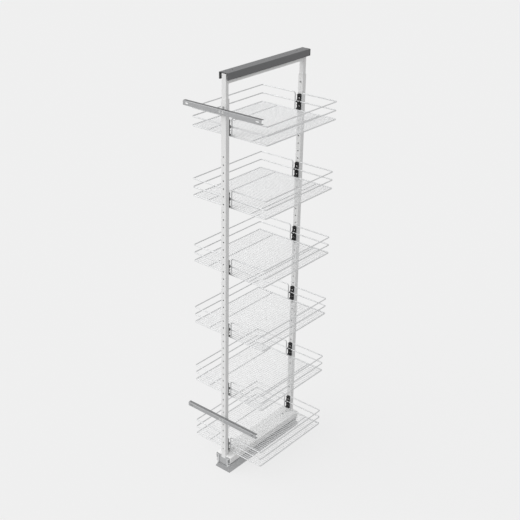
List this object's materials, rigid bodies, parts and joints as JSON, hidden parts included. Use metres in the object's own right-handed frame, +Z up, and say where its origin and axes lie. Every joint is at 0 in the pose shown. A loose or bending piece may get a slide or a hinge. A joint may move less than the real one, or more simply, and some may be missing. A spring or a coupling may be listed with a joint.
{
  "type": "pull-out larder unit",
  "caption": "Tall pull-out larder frame: two telescopic posts on a ball-slide base, guided by a top rail, with wire baskets clipped between the posts and brackets for the door.",
  "frame": {"origin": "on the cabinet floor, at the centre of the rectangle of floor screw holes, midway along and across the runner", "axes": "+X to the right as seen from the door, -Y out of the cabinet towards the door, +Z up"},
  "size_m": [0.382, 0.5075, 1.7725],
  "materials": {
    "zinc_steel": "galvanised sheet steel, dull with a faint spangle",
    "zinc_casting": "zinc die casting, fine matt skin",
    "bright_steel": "bright zinc-plated steel",
    "silver_lacquer": "satin silver-grey powder coat",
    "white_lacquer": "satin off-white powder coat",
    "grey_rail": "satin mid-grey powder coat",
    "basket_wire": "chrome-plated steel wire",
    "black_plastic": "moulded black plastic with a fine grain",
    "buffer_rubber": "soft black rubber",
    "nylon": "white nylon, faintly translucent"
  },
  "bodies": {
    "base": {"floor_plate": "zinc_steel", "left_carrier": "zinc_steel", "right_carrier": "zinc_steel", "left_fixed_slide": "zinc_steel", "right_fixed_slide": "zinc_steel", "slide_buffers": "buffer_rubber"},
    "middle_slides": {"left_middle_slide": "zinc_steel", "right_middle_slide": "zinc_steel"},
    "outer_cages": {"outer_ball_cages": "zinc_steel", "outer_balls": "bright_steel"},
    "inner_cages": {"inner_ball_cages": "zinc_steel", "inner_balls": "bright_steel"},
    "frame": {"left_moving_slide": "zinc_steel", "right_moving_slide": "zinc_steel", "beam": "white_lacquer", "front_foot": "zinc_steel", "rear_foot": "zinc_steel", "foot_screws": "bright_steel", "front_upright": "silver_lacquer", "rear_upright": "silver_lacquer", "clamp_screws": "bright_steel", "basket_studs": "bright_steel", "upper_bracket": "zinc_steel", "lower_bracket": "zinc_steel", "upper_spacer": "zinc_casting", "lower_spacer": "zinc_casting", "bracket_screws": "bright_steel"},
    "top_frame": {"front_inner_post": "silver_lacquer", "rear_inner_post": "silver_lacquer", "top_tube": "silver_lacquer", "front_roller_carrier": "silver_lacquer", "rear_roller_carrier": "silver_lacquer", "roller_pins": "bright_steel"},
    "front_roller": {"front_roller": "nylon"},
    "rear_roller": {"rear_roller": "nylon"},
    "guide_rail": {"guide_rail": "grey_rail", "guide_rail_end": "black_plastic"},
    "basket_1": {"basket_1_floor": "basket_wire", "basket_1_rails": "basket_wire", "basket_1_clips": "black_plastic"},
    "basket_2": {"basket_2_floor": "basket_wire", "basket_2_rails": "basket_wire", "basket_2_clips": "black_plastic"},
    "basket_3": {"basket_3_floor": "basket_wire", "basket_3_rails": "basket_wire", "basket_3_clips": "black_plastic"},
    "basket_4": {"basket_4_floor": "basket_wire", "basket_4_rails": "basket_wire", "basket_4_clips": "black_plastic"},
    "basket_5": {"basket_5_floor": "basket_wire", "basket_5_rails": "basket_wire", "basket_5_clips": "black_plastic"},
    "basket_6": {"basket_6_floor": "basket_wire", "basket_6_rails": "basket_wire", "basket_6_clips": "black_plastic"}
  },
  "joints": [
    {"name": "pull_out", "type": "slide", "parent": "base", "child": "frame", "axis": [0, -1, 0], "range_m": [0, 0.44]},
    {"name": "middle_slide_run", "type": "slide", "parent": "base", "child": "middle_slides", "axis": [0, -1, 0], "range_m": [0, 0.22]},
    {"name": "outer_cage_run", "type": "slide", "parent": "base", "child": "outer_cages", "axis": [0, -1, 0], "range_m": [0, 0.11]},
    {"name": "inner_cage_run", "type": "slide", "parent": "base", "child": "inner_cages", "axis": [0, -1, 0], "range_m": [0, 0.33]},
    {"name": "height_adjust", "type": "slide", "parent": "frame", "child": "top_frame", "axis": [0, 0, 1], "range_m": [-0.05, 0.15]},
    {"name": "rail_height", "type": "slide", "parent": "base", "child": "guide_rail", "axis": [0, 0, 1], "range_m": [-0.05, 0.15]},
    {"name": "front_roller_spin", "type": "hinge", "parent": "top_frame", "child": "front_roller", "pos_m": [0, -0.203, 1.757], "axis": [0, 0, 1], "continuous": true},
    {"name": "rear_roller_spin", "type": "hinge", "parent": "top_frame", "child": "rear_roller", "pos_m": [0, 0.203, 1.757], "axis": [0, 0, 1], "continuous": true},
    {"name": "basket_1_lift", "type": "slide", "parent": "frame", "child": "basket_1", "axis": [0, 0, 1], "range_m": [0, 0.008]},
    {"name": "basket_2_lift", "type": "slide", "parent": "frame", "child": "basket_2", "axis": [0, 0, 1], "range_m": [0, 0.008]},
    {"name": "basket_3_lift", "type": "slide", "parent": "frame", "child": "basket_3", "axis": [0, 0, 1], "range_m": [0, 0.008]},
    {"name": "basket_4_lift", "type": "slide", "parent": "frame", "child": "basket_4", "axis": [0, 0, 1], "range_m": [0, 0.008]},
    {"name": "basket_5_lift", "type": "slide", "parent": "frame", "child": "basket_5", "axis": [0, 0, 1], "range_m": [0, 0.008]},
    {"name": "basket_6_lift", "type": "slide", "parent": "frame", "child": "basket_6", "axis": [0, 0, 1], "range_m": [0, 0.008]}
  ],
  "couplings": [
    {"joint": "middle_slide_run", "follows": "pull_out", "ratio": 0.5},
    {"joint": "outer_cage_run", "follows": "pull_out", "ratio": 0.25},
    {"joint": "inner_cage_run", "follows": "pull_out", "ratio": 0.75},
    {"joint": "rail_height", "follows": "height_adjust", "ratio": 1}
  ]
}
